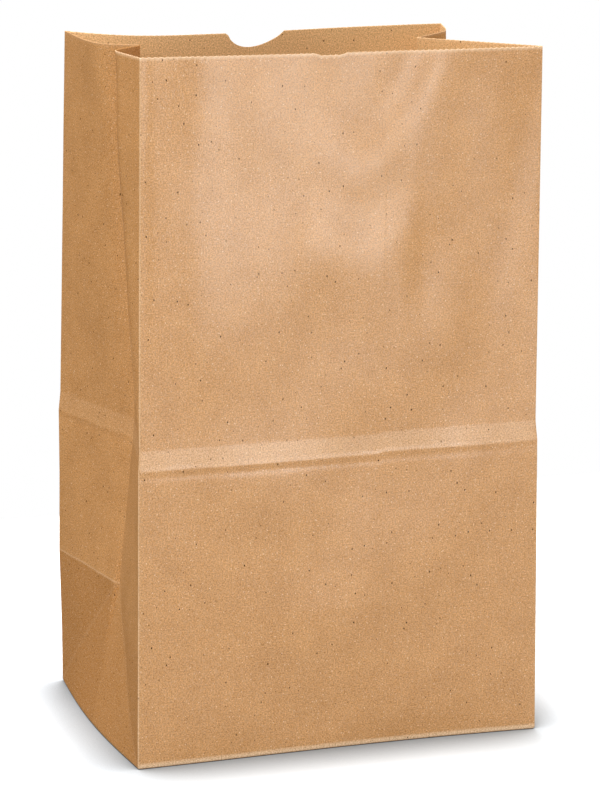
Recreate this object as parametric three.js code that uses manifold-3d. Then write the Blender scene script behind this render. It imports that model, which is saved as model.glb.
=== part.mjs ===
// Brown paper lunch bag: one sheet of kraft paper, folded and glued into a self-opening sack with a
// flat block bottom, standing open. Millimetres, +Z up, front panel towards -Y, floor at Z = 0,
// origin under the middle of the base.
import * as THREE from 'three';
import Module from 'manifold-3d';

const { lerp, clamp } = THREE.MathUtils;

// The sheet
const paper = 0.12;

// The block: panels measured fold to fold at the base, height to the tips of the cut edge
const bagWidth = 152;
const bagDepth = 108;
const bagHeight = 254;
const baseWaist = 2;
const baseWaistPlace = 0.62;
const baseBulge = 2;

// The two creases all round, where the flat bag was folded over for its bundle
const bandBottom = 109.5;
const bandHeight = 7.5;
const bandStep = 0.6;

// The mouth: the panels lean in, the front swells and the back is dented
const mouthPinch = 0.9;
const mouthLean = 7.2;
const frontBulge = 1;
const backDent = 20;
const backDentPlace = 0.235;
const backDentSharpness = 1.5;

// How the bag stands askew: pushed over to the right, the side panels turned from square with the depth,
// and the front panel turned with the width
const baseShift = 0.35;
const bandShift = -0.3;
const mouthShift = 1.6;
const baseSkew = 0.004;
const bandSkew = 0.027;
const mouthSkew = 0.03;
const baseSlope = -0.009;
const mouthSlope = 0.009;

// How far the middle crease of each side panel is tucked in, at the block bottom, band and mouth
const apexTuck = 8.6;
const leftBandTuck = 14;
const leftMouthTuck = 13.5;
const rightBandTuck = 16;
const rightMouthTuck = 31;
const creaseForward = 4;

// Where the halves of the side panels bend at the mouth: along the panel from its fold, and inward
const leftFrontBend = { along: 27, inward: -2.5, fromFold: true };
const leftRearBend = { along: 44, inward: 0, fromFold: false };
const rightFrontBend = { along: 20, inward: 14, fromFold: false };
const rightRearBend = { along: 28, inward: 9, fromFold: true };

// The cut edge: saw teeth, a thumb notch in the back panel and a nick in the front panel
const toothPitch = 2.2;
const toothDepth = 0.3;
const notchWidth = 24;
const notchDepth = 5.6;
const notchPlace = 5.8;
const notchSkew = 0.22;
const notchFullness = 0.65;
const nickWidth = 12;
const nickDepth = 0.8;
const nickPlace = 6.4;

// The glued laps: the long seam on the front panel, and the flaps of the bottom, whose folded edges lie
// within the thickness of the wall, inset by a share of it
const seamEdge = 15;
const seamLap = 12;
const flapLap = 18;
const endFlapSpare = 5;
const glueSink = 0.02;
const flapInset = 0.8;

// Facets
const halfCells = 6;
const panelCells = 12;
const notchCells = 6;
const mouthRows = 3;
const stepWidth = 0.4;
const rimSpare = 2;
const mitreLimit = 0.5;

const rimStrip = notchDepth + rimSpare;

const bandTop = bandBottom + bandHeight;
const apexHeight = bagDepth / 2;

// Linear interpolation through pairs of height and value
function ladder(pairs, z) {
  const next = Math.max(1, pairs.findIndex(([height]) => height >= z));
  const [lowZ, low] = pairs[next - 1];
  const [highZ, high] = pairs[next];
  return lerp(low, high, (z - lowZ) / (highZ - lowZ));
}

// The half gusset keeps its width, so a deeper tuck draws the front and back panels together
const halfGusset = bagDepth / 2;
const bandDepth = 2 * Math.sqrt(halfGusset ** 2 - leftBandTuck ** 2);
const mouthWidth = bagWidth - 2 * mouthPinch;
const mouthDepth = bagDepth - 2 * mouthLean;

const widths = [[0, bagWidth], [bandBottom, bagWidth], [bandTop, bagWidth - 2 * bandStep],
  [bagHeight, mouthWidth]];
const depths = [[0, bagDepth], [bandBottom, bandDepth], [bandTop, bandDepth - 2 * bandStep],
  [bagHeight, mouthDepth]];
const tucks = {
  left: [[0, 0], [apexHeight, apexTuck], [bandBottom, leftBandTuck], [bagHeight, leftMouthTuck]],
  right: [[0, 0], [apexHeight, apexTuck], [bandBottom, rightBandTuck], [bagHeight, rightMouthTuck]],
};

const shifts = [[0, baseShift], [bandBottom, bandShift], [bandTop, bandShift], [bagHeight, mouthShift]];
const skews = [[0, baseSkew], [bandBottom, bandSkew], [bandTop, bandSkew], [bagHeight, mouthSkew]];
const slopes = [[0, baseSlope], [bandBottom, 0], [bandTop, 0], [bagHeight, mouthSlope]];

// Share of the way from the band to the mouth, 0 below the band
function openness(z) {
  return clamp((z - bandTop) / (bagHeight - bandTop), 0, 1);
}

// A point of the square level section, put askew: the slope fades out from the front to the back
function askew(point, z) {
  const halfDepth = ladder(depths, z) / 2;
  const slope = ladder(slopes, z) * (halfDepth - point.y) / (2 * halfDepth);
  const x = point.x - ladder(skews, z) * point.y + ladder(shifts, z);
  return new THREE.Vector2(x, point.y + slope * point.x);
}

// Hump across a panel: 0 at both folds and 1 at the given place
function hump(t, place) {
  return Math.max(0, Math.sin(Math.PI * t ** (Math.log(0.5) / Math.log(place))));
}

// Front and back panels: t runs from 0 at the left fold to 1 at the right fold
function flatPanel(face, t, z) {
  const halfWidth = ladder(widths, z) / 2;
  const halfDepth = ladder(depths, z) / 2;
  const waist = baseWaist * hump(t, baseWaistPlace) * clamp(1 - z / apexHeight, 0, 1);
  const bulge = frontBulge * Math.sin(Math.PI * t) * openness(z);
  const dent = backDent * hump(t, backDentPlace) ** backDentSharpness * openness(z);
  const y = face === 'front' ? -halfDepth + waist - bulge : halfDepth - waist - dent;
  return new THREE.Vector2(lerp(-halfWidth, halfWidth, t), y);
}

// Half of a side panel: c runs from 0 at the outer fold to 1 at the middle crease.
// Below the apex the paper is two flat triangles that meet on the 45 degree diagonal.
// Above the band it bends along one line that runs up to the mouth.
function sidePanel(side, face, bend, c, z) {
  const out = side === 'left' ? -1 : 1;
  const toFold = face === 'front' ? -1 : 1;
  const halfWidth = ladder(widths, z) / 2;
  const halfDepth = ladder(depths, z) / 2;
  const share = openness(z);
  const fold = new THREE.Vector2(out * halfWidth, toFold * halfDepth);
  const tuck = ladder(tucks[side], z);
  const crease = new THREE.Vector2(out * (halfWidth - tuck), -creaseForward * share);
  if (z <= apexHeight) {
    const rise = z / apexHeight;
    const inward = apexTuck * Math.min(c, rise) - baseBulge * (1 - rise) * Math.sin(Math.PI * c / 2);
    return new THREE.Vector2(fold.x - out * inward, lerp(fold.y, 0, c));
  }
  const topBend = new THREE.Vector2(
    out * (mouthWidth / 2 - bend.inward),
    toFold * (mouthDepth / 2 - bend.along),
  );
  const topPlace = Math.hypot(bend.along, bend.inward) / halfGusset;
  const lowPlace = bend.fromFold ? 0 : topPlace;
  const place = lerp(lowPlace, topPlace, share);
  const lowBend = fold.clone().lerp(crease, lowPlace);
  const bendPoint = lowBend.lerp(topBend, share);
  if (c <= place) {
    return fold.lerp(bendPoint, place > 0 ? c / place : 0);
  }
  return bendPoint.lerp(crease, (c - place) / (1 - place));
}

// Places of the columns across a flat panel: even steps, with finer ones across the given stretch
function panelPlaces(from, to, cells) {
  const places = [];
  const before = Math.max(1, Math.round(panelCells * from));
  const after = Math.max(1, Math.round(panelCells * (1 - to)));
  for (let i = 0; i < before; i += 1) places.push(from * i / before);
  for (let i = 0; i < cells; i += 1) places.push(lerp(from, to, i / cells));
  for (let i = 0; i <= after; i += 1) places.push(lerp(to, 1, i / after));
  return places;
}

// Columns round the bag, anticlockwise from above, each a function of height.
// Each knows which way its cell is split, its place across a flat panel and its seam thickness.
const columns = [];

function addPanel(face, places) {
  const ordered = face === 'front' ? places : [...places].reverse();
  ordered.slice(0, -1).forEach((t) => {
    const across = (t - 0.5) * bagWidth;
    const onLap = face === 'front' && across > seamEdge - seamLap && across <= seamEdge;
    columns.push({ face, across, rising: true, extra: onLap ? paper : 0, at: (z) => flatPanel(face, t, z) });
  });
}

function addHalf(side, face, bend, towardsCrease) {
  for (let i = 0; i < halfCells; i += 1) {
    const c = towardsCrease ? i / halfCells : 1 - i / halfCells;
    columns.push({ face: side, across: 0, rising: towardsCrease, extra: 0,
      at: (z) => sidePanel(side, face, bend, c, z) });
  }
}

const placeAcross = (across) => 0.5 + across / bagWidth;
const notchFrom = placeAcross(-notchPlace - notchWidth / 2);
const notchTo = placeAcross(-notchPlace + notchWidth / 2);
addPanel('front', panelPlaces(placeAcross(seamEdge), placeAcross(seamEdge + stepWidth), 1));
addHalf('right', 'front', rightFrontBend, true);
addHalf('right', 'back', rightRearBend, false);
addPanel('back', panelPlaces(notchFrom, notchTo, notchCells));
addHalf('left', 'back', leftRearBend, true);
addHalf('left', 'front', leftFrontBend, false);

// Offset of a closed outline along its mitred normals, outward positive
function offsetOutline(points, distance) {
  return points.map((point, i) => {
    const before = points[(i + points.length - 1) % points.length];
    const after = points[(i + 1) % points.length];
    const a = point.clone().sub(before).normalize();
    const b = after.clone().sub(point).normalize();
    const normal = new THREE.Vector2(a.y + b.y, -a.x - b.x).normalize();
    const stretch = Math.max(mitreLimit, normal.x * a.y - normal.y * a.x);
    return point.clone().addScaledVector(normal, distance(i) / stretch);
  });
}

// Rows up the wall: block bottom, band, and even steps to the mouth where the bends cross
const rows = [];
for (let i = 0; i <= halfCells; i += 1) rows.push(apexHeight * i / halfCells);
rows.push((apexHeight + bandBottom) / 2, bandBottom, bandTop);
for (let i = 1; i < mouthRows; i += 1) rows.push(lerp(bandTop, bagHeight, i / mouthRows));
rows.push(bagHeight - rimStrip, bagHeight);

const middleLines = rows.map((z) => columns.map((column) => askew(column.at(z), z)));
const outerLines = middleLines.map((line) => offsetOutline(line, (i) => columns[i].extra));
const innerLines = middleLines.map((line) => offsetOutline(line, () => -paper));

// How far the cut edge lies below the tips at one place of a panel
function cutDrop(face, across, isTip) {
  const tooth = isTip ? 0 : toothDepth;
  if (face === 'back') {
    const offMiddle = clamp(2 * (across + notchPlace) / notchWidth, -1, 1);
    const offDeepest = offMiddle + notchSkew * (1 - offMiddle ** 2);
    return Math.max(tooth, notchDepth * Math.max(0, 1 - offDeepest ** 2) ** notchFullness);
  }
  const inNick = face === 'front' && Math.abs(across + nickPlace) < nickWidth / 2;
  return inNick ? tooth + nickDepth : tooth;
}

// Places along one cell's top: share of the cell and height as a share of the rim strip
function cutEdge(i) {
  const here = columns[i];
  const next = columns[(i + 1) % columns.length];
  const nextAcross = next.face === here.face ? next.across : Math.sign(here.across) * bagWidth / 2;
  const top = middleLines.at(-1);
  const length = top[i].distanceTo(top[(i + 1) % columns.length]);
  const teeth = Math.max(1, Math.round(length / toothPitch));
  const edge = [];
  for (let k = 0; k <= 2 * teeth; k += 1) {
    const along = k / (2 * teeth);
    const drop = cutDrop(here.face, lerp(here.across, nextAcross, along), k % 2 === 1);
    edge.push({ along, up: 1 - drop / rimStrip });
  }
  return edge;
}

// The wall: outer and inner skins, closed at the foot and along the toothed cut edge
function wallGeometry() {
  const positions = [];
  const faces = [];
  const count = columns.length;
  const wallRows = rows.length - 1;
  const put = (x, y, z) => positions.push(x, y, z) / 3 - 1;
  const skin = (lines) => lines.slice(0, wallRows).map((line, r) => line.map((p) => put(p.x, p.y, rows[r])));
  const outer = skin(outerLines);
  const inner = skin(innerLines);
  const triangle = (a, b, c, flip) => faces.push(...(flip ? [a, c, b] : [a, b, c]));

  for (let i = 0; i < count; i += 1) {
    const j = (i + 1) % count;
    for (let r = 0; r < wallRows - 1; r += 1) {
      [[outer, false], [inner, true]].forEach(([side, flip]) => {
        const [a, b, c, d] = [side[r][i], side[r][j], side[r + 1][j], side[r + 1][i]];
        triangle(a, b, columns[i].rising ? c : d, flip);
        triangle(columns[i].rising ? a : b, c, d, flip);
      });
    }
    triangle(outer[0][i], inner[0][i], outer[0][j], false);
    triangle(inner[0][i], inner[0][j], outer[0][j], false);
  }

  // One point of the cut edge on a skin, shared by the two cells that meet there
  const rimCorners = new Map();
  const rimPoint = (name, lines, i, { along, up }) => {
    const j = (i + 1) % count;
    const key = along === 0 ? `${name}${i}` : `${name}${j}`;
    const isCorner = along === 0 || along === 1;
    if (isCorner && rimCorners.has(key)) return rimCorners.get(key);
    const low = lines.at(-2)[i].clone().lerp(lines.at(-2)[j], along);
    const high = lines.at(-1)[i].clone().lerp(lines.at(-1)[j], along);
    const point = low.lerp(high, up);
    const index = put(point.x, point.y, bagHeight - rimStrip * (1 - up));
    if (isCorner) rimCorners.set(key, index);
    return index;
  };

  for (let i = 0; i < count; i += 1) {
    const j = (i + 1) % count;
    const edge = cutEdge(i);
    const outerRim = edge.map((place) => rimPoint('outer', outerLines, i, place));
    const innerRim = edge.map((place) => rimPoint('inner', innerLines, i, place));
    [[outer, outerRim, false], [inner, innerRim, true]].forEach(([side, rim, flip]) => {
      const foot = side[wallRows - 1];
      triangle(foot[i], foot[j], rim.at(-1), flip);
      for (let k = rim.length - 1; k > 0; k -= 1) triangle(foot[i], rim[k], rim[k - 1], flip);
    });
    for (let k = 0; k < edge.length - 1; k += 1) {
      triangle(outerRim[k], outerRim[k + 1], innerRim[k + 1], false);
      triangle(outerRim[k], innerRim[k + 1], innerRim[k], false);
    }
  }
  return { positions, faces };
}

const wasm = await Module();
wasm.setup();

function solid(positions, faces) {
  return new wasm.Manifold(new wasm.Mesh({
    numProp: 3,
    vertProperties: new Float32Array(positions),
    triVerts: new Uint32Array(faces),
  }));
}

// A flat layer of paper with the given outline, from a height upwards
function layer(points, bottom, thickness) {
  const outline = THREE.ShapeUtils.isClockWise(points) ? [...points].reverse() : points;
  const triangles = THREE.ShapeUtils.triangulateShape(outline, []);
  const n = outline.length;
  const positions = [bottom, bottom + thickness].flatMap((z) => outline.flatMap((p) => [p.x, p.y, z]));
  const faces = triangles.flatMap(([a, b, c]) => [a, c, b, a + n, b + n, c + n]);
  for (let i = 0; i < n; i += 1) {
    const j = (i + 1) % n;
    faces.push(i, j, j + n, i, j + n, i + n);
  }
  return solid(positions, faces);
}

// The block bottom, from outside in: front flap, back flap, then the two end flaps.
// The long flaps have 45 degree ends and lap over each other along the middle of the base.
function bottomFlaps() {
  const sheetStep = paper - glueSink;
  const footprint = layer(offsetOutline(middleLines[0], () => -flapInset * paper), 0, 3 * paper);
  const halfWidth = bagWidth / 2 + baseBulge;
  const halfDepth = bagDepth / 2;
  const reach = halfDepth + flapLap / 2;
  const endReach = halfDepth + endFlapSpare;
  const longFlap = (y) => [[-halfWidth, y * halfDepth], [halfWidth, y * halfDepth],
    [halfWidth - reach, y * (halfDepth - reach)], [reach - halfWidth, y * (halfDepth - reach)]];
  const shortFlap = (x) => [[x * halfWidth, -halfDepth], [x * halfWidth, halfDepth],
    [x * (halfWidth - endReach), halfDepth], [x * (halfWidth - endReach), -halfDepth]];
  const flaps = [[longFlap(-1), 0], [longFlap(1), sheetStep],
    [shortFlap(-1), 2 * sheetStep], [shortFlap(1), 2 * sheetStep]];
  return flaps.map(([corners, bottom]) => {
    const outline = corners.map(([x, y]) => askew(new THREE.Vector2(x, y), 0));
    return layer(outline, bottom, paper).intersect(footprint);
  });
}

const wall = wallGeometry();
const bag = bottomFlaps().reduce((whole, flap) => whole.add(flap), solid(wall.positions, wall.faces));
const bagMesh = bag.getMesh();

const geometry = new THREE.BufferGeometry();
geometry.setAttribute('position', new THREE.BufferAttribute(new Float32Array(bagMesh.vertProperties), 3));
geometry.setIndex(new THREE.BufferAttribute(new Uint32Array(bagMesh.triVerts), 1));
geometry.computeVertexNormals();

const kraft = new THREE.MeshStandardMaterial({ color: 0xc79a6b, roughness: 0.9, metalness: 0 });
const paperBag = new THREE.Mesh(geometry, kraft);
paperBag.name = 'paper_bag';

const group = new THREE.Group();
group.add(paperBag);

export default group;
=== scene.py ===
import math

import bpy
import numpy as np
from bpy.props import FloatProperty, FloatVectorProperty, PointerProperty
from bpy.types import Operator, Panel, PropertyGroup
from mathutils import Matrix, Vector


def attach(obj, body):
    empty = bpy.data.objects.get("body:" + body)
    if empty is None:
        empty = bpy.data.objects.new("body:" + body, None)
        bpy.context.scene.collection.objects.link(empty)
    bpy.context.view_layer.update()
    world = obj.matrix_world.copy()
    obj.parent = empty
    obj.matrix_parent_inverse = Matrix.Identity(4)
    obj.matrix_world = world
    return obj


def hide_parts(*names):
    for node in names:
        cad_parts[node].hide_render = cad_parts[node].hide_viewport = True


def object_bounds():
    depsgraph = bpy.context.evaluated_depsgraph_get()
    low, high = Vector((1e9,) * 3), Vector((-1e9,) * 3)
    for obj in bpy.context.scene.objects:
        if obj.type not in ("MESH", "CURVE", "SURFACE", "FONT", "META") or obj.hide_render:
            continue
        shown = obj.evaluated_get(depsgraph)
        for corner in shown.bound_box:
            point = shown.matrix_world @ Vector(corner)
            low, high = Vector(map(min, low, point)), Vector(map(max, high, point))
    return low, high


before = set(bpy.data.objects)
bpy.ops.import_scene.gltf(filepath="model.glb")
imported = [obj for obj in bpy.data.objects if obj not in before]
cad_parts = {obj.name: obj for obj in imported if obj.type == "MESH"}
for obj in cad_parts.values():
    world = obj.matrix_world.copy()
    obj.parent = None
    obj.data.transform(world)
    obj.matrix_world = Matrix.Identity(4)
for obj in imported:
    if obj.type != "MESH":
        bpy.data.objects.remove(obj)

bl_info = {
    "name": "Kraft Lunch Bag",
    "version": (1, 0, 0),
    "blender": (4, 5, 0),
    "location": "View3D > Sidebar > Lunch Bag",
    "description": "A brown paper lunch bag, folded from one sheet and standing open on a studio floor",
    "category": "Object",
}

MM = 0.001
CAD_BOX = [list(corner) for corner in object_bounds()]

# The panels in their order round the bag, anticlockwise from above, starting at the front left fold.
# A side panel is two halves that meet on its middle crease.
FRONT, RIGHT_FRONT, RIGHT_REAR, BACK, LEFT_REAR, LEFT_FRONT = range(6)
SIDES = (RIGHT_FRONT, RIGHT_REAR, LEFT_REAR, LEFT_FRONT)
OUTWARD_X = np.array([0, 1, 1, 0, -1, -1])
TOWARDS_FOLD_Y = np.array([-1, -1, 1, 1, 1, -1])
RUNS_TO_CREASE = np.array([False, True, False, False, True, False])

# How the opened sheet is pushed about, in metres, with places as shares of the width
BASE_WAIST = 2 * MM
BASE_BULGE = 2.8 * MM
BASE_SPARE = 0.8 * MM
MOUTH_PINCH = 0.9 * MM
MOUTH_LEAN = 7.2 * MM
WAIST_PLACE = 0.62
FRONT_BULGE = 0.3 * MM
BACK_DENT = 20 * MM
BACK_DENT_PLACE = 0.235
APEX_TUCK = 8.6 * MM
LEFT_TUCKS = (14 * MM, 13.5 * MM)
RIGHT_TUCKS = (16 * MM, 31 * MM)
CREASE_FORWARD = 4 * MM

# How the bag stands askew at the base, the two bundle creases and the mouth: how far the sides turn from
# square with the depth, how far the front turns with the width, and the shift to the right in metres
SIDE_SKEWS = (0.004, 0.027, 0.027, 0.030)
FRONT_SLOPES = (-0.009, 0.0, 0.0, 0.009)
SHIFTS = (0.35 * MM, -0.3 * MM, -0.3 * MM, 1.6 * MM)

# Where each half of a side panel bends at the mouth, in the order of the panels: along it from its
# fold, inward, and whether the bend starts from the fold at the band (0) or keeps its share (1)
BEND_ALONG = np.array([1, 20, 28, 1, 44, 27]) * MM
BEND_INWARD = np.array([0, 14, 9, 0, -1.5, -2.5]) * MM
BEND_KEEPS_SHARE = np.array([1, 1, 0, 1, 1, 0])
BEND_SOFTNESS = np.array([0.1, 0.3, 0.2, 0.1, 0.8, 0.15])

# The cut edge, the seam and the flaps, in metres, with the notch's skew as a share of its half width and
# the seam's rise as a share of the paper
NOTCH_PLACE = -5.8 * MM
NOTCH_SKEW = 0.22
NICK_WIDTH = 12 * MM
NICK_DEPTH = 0.8 * MM
NICK_PLACE = -6.4 * MM
RIM_STRIP = 9 * MM
RIM_LIFT = 0.8 * MM
RIM_LIFT_REACH = 16 * MM
SEAM_EDGE = 15 * MM
SEAM_LAP = 12 * MM
SEAM_RISE = 0.7
SEAM_OPENS = 60 * MM
SEAM_SLIP = 0.8 * MM
FLAP_LAP = 18 * MM
FLAP_LAYERS = np.array([0, 2.6, 2.6, 1.3, 2.6, 2.6])
APEX_GAP = 0.4 * MM

# The window that rounds the folds: its places and weights on either axis, how far up the base fold
# widens it, in metres, and how much the triangles of the block do
WINDOW_PLACES = np.array([-1.0, -0.6, -0.2, 0.2, 0.6, 1.0])
WINDOW_WEIGHTS = np.array([0.6, 1.0, 1.2, 1.2, 1.0, 0.6])
BASE_FOLD_REACH = 2.5 * MM
BLOCK_ROUNDING = 2.6

# How far the band lies above its mean height at the front left fold, at both sides of the seam's edge
# and at the front right fold, in metres
BAND_CLIMB = (-0.5 * MM, -0.2 * MM, 0.5 * MM, 0.8 * MM)

# How strongly each panel shows its teeth, a pale cut edge, a dark cut edge that is painted shade, and a
# pale inner face that is partly painted light and shade
TEETH = np.array([1, 0.3, 0.4, 0.2, 0.4, 1])
CUT_PALE = np.array([0.9, 0.3, 0.4, 0.0, 0.25, 0.8])
CUT_PAINTED_SHADE = np.array([0, 0.8, 0.6, 1, 0.4, 0])
INSIDE_PALE_AND_PAINTED_LIGHT = np.array([0.4, 0.6, 1, 1, 0.3, 0.1])

# Scuffs, painted light and painted shade: strength from 0 to 1 and half width in metres. The heel is
# the edge of the base fold, made pale as painted light from the floor. The band is pale from scuffs and
# painted sheen. The painted shades lie along the bend of the left front half and below the apex on it.
FOLD_SCUFF = (0.6, 0.35 * MM)
LEVEL_CREASE_SCUFF = (0.35, 0.35 * MM)
DIAGONAL_SCUFF = (0.14, 0.5 * MM)
BEND_SCUFF = (0.3, 0.4 * MM)
CUT_SCUFF_WIDTH = 0.45 * MM
HEEL_PAINTED_LIGHT = 0.85
HEEL_PLACE = 0.9 * MM
HEEL_WIDTH = 1.1 * MM
BAND_SCUFF_AND_SHEEN = 0.17
SIDE_BAND_SCUFF_AND_SHEEN = 0.1
BEND_SHADE_WIDTH = 3.2 * MM
APEX_SHADE = 0.7

# The sheet laid flat: where its base fold lies, and how far the inner skin lies beside the outer one
MAP_BASE = 0.1
MAP_INNER = 0.42

# Gloss of the glazed outer face of the front and back panels, and roughness there and elsewhere
PANEL_GLAZE = 0.33
GLAZED_ROUGHNESS = 0.26
PLAIN_ROUGHNESS = 0.8

# What dense grain and the thin pulp between it make of the paper's red, green and blue
GRAIN_DENSE = (0.6, 0.55, 0.42)
GRAIN_THIN = (1.4, 1.45, 1.58)


def linear_colour(hex_code):
    """sRGB hex, such as c89667, as linear red, green and blue."""
    parts = np.array([int(hex_code[i:i + 2], 16) for i in (0, 2, 4)]) / 255
    return tuple(np.where(parts <= 0.04045, parts / 12.92, ((parts + 0.055) / 1.055) ** 2.4))


class BagSizes(PropertyGroup):
    """Sizes of the sheet and its folds."""

    width: FloatProperty(name="Width", description="Front panel, fold to fold",
                         default=152 * MM, unit="LENGTH")
    depth: FloatProperty(name="Depth", description="Side panel at the base",
                         default=108 * MM, unit="LENGTH")
    height: FloatProperty(name="Height", description="Floor to the tips of the cut edge",
                          default=CAD_BOX[1][2], unit="LENGTH")
    paper: FloatProperty(name="Paper", description="Thickness of the kraft paper",
                         default=0.12 * MM, unit="LENGTH")
    fold_radius: FloatProperty(name="Fold Radius", description="Half width of the rounding of a fold",
                               default=0.5 * MM, unit="LENGTH")
    band_bottom: FloatProperty(name="Band Bottom", description="Height of the lower bundle crease",
                               default=109.5 * MM, unit="LENGTH")
    band_height: FloatProperty(name="Band Height", description="Between the two bundle creases",
                               default=7.5 * MM, unit="LENGTH")
    band_step: FloatProperty(name="Band Step", description="How far the wall steps in over the band",
                             default=0.6 * MM, unit="LENGTH")
    tooth_pitch: FloatProperty(name="Tooth Pitch", description="Spacing of the teeth of the cut edge",
                               default=2.2 * MM, unit="LENGTH")
    tooth_depth: FloatProperty(name="Tooth Depth", description="Depth of the teeth of the cut edge",
                               default=0.35 * MM, unit="LENGTH")
    notch_width: FloatProperty(name="Notch Width", description="Thumb notch in the back panel",
                               default=24 * MM, unit="LENGTH")
    notch_depth: FloatProperty(name="Notch Depth", description="Thumb notch in the back panel",
                               default=5.6 * MM, unit="LENGTH")


class BagColours(PropertyGroup):
    """Colours of the kraft paper and of the studio."""

    kraft: FloatVectorProperty(name="Kraft", description="Body of the paper", subtype="COLOR",
                               default=linear_colour("c08d56"))
    kraft_dark: FloatVectorProperty(name="Kraft Dark", description="Denser clouds of the paper",
                                    subtype="COLOR", default=linear_colour("ae7c46"))
    # Partly the paler inner face of the paper and partly painted light and shade: its strength on each
    # panel brightens the inner faces of the back and right rear half and darkens the tuck
    kraft_inside: FloatVectorProperty(name="Kraft Inside", description="Unglazed inner face of the paper",
                                      subtype="COLOR", default=linear_colour("d6b07e"))
    # Painted shade: darker paper on the block of the side panels, below the apex and along the bend of
    # the left front half, in the tuck and along dark cut edges
    kraft_painted_shade: FloatVectorProperty(name="Kraft Painted Shade", description="Painted shade on the paper",
                                      subtype="COLOR", default=linear_colour("ab773f"))
    # Also the colour of the painted light on the heel and the painted sheen on the band
    fibre_and_painted_light: FloatVectorProperty(name="Fibre And Painted Light", description="Pale fibres, folds and cut edges",
                               subtype="COLOR", default=linear_colour("ecd0ae"))
    speck: FloatVectorProperty(name="Speck", description="Dark specks of bark in the pulp",
                               subtype="COLOR", default=linear_colour("4a2f16"))
    floor: FloatVectorProperty(name="Floor", description="Studio floor", subtype="COLOR",
                               default=linear_colour("959595"))


def panel_edges(size):
    """Places along the sheet, in metres from the front left fold, where the panels start and end."""
    half = size.depth / 2
    return np.cumsum([0, size.width, half, half, size.width, half, half])


def panel_of(size, u):
    """Number of the panel at each place u along the sheet, and the share of the way across it."""
    edges = panel_edges(size)
    u = np.mod(u, edges[-1])
    panel = np.clip(np.searchsorted(edges, u, side="right") - 1, 0, 5)
    return panel, (u - edges[panel]) / (edges[panel + 1] - edges[panel])


def band_climb(size, u):
    """How far the bundle creases lie above their mean height: they climb across the front panel, with
    a jump at the seam's edge where the lap slipped, and sink back round the other panels."""
    edges = panel_edges(size)
    seam = size.width / 2 + SEAM_EDGE
    places = [0, seam - SEAM_SLIP, seam + SEAM_SLIP, size.width, edges[-1]]
    return np.interp(np.mod(u, edges[-1]), places, [*BAND_CLIMB, BAND_CLIMB[0]])


def mix(a, b, share):
    """Straight line from a to b."""
    return a + (b - a) * share


def smooth_step(x):
    """0 below 0, 1 above 1, with a smooth rise between them."""
    x = np.clip(x, 0, 1)
    return x * x * (3 - 2 * x)


def bell(distance, half_width):
    """1 at no distance, falling off on both sides as a bell curve of this half width."""
    return np.exp(-(distance / half_width) ** 2)


def past_bend(c, bend, softness):
    """Share of the way past a bend: 0 before it and a straight rise to 1 after it, turned through a
    hyperbola as wide as the softness."""
    rise = (c - bend) + np.hypot(c - bend, softness)
    first = np.hypot(bend, softness) - bend
    last = (1 - bend) + np.hypot(1 - bend, softness)
    return (rise - first) / (last - first)


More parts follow.
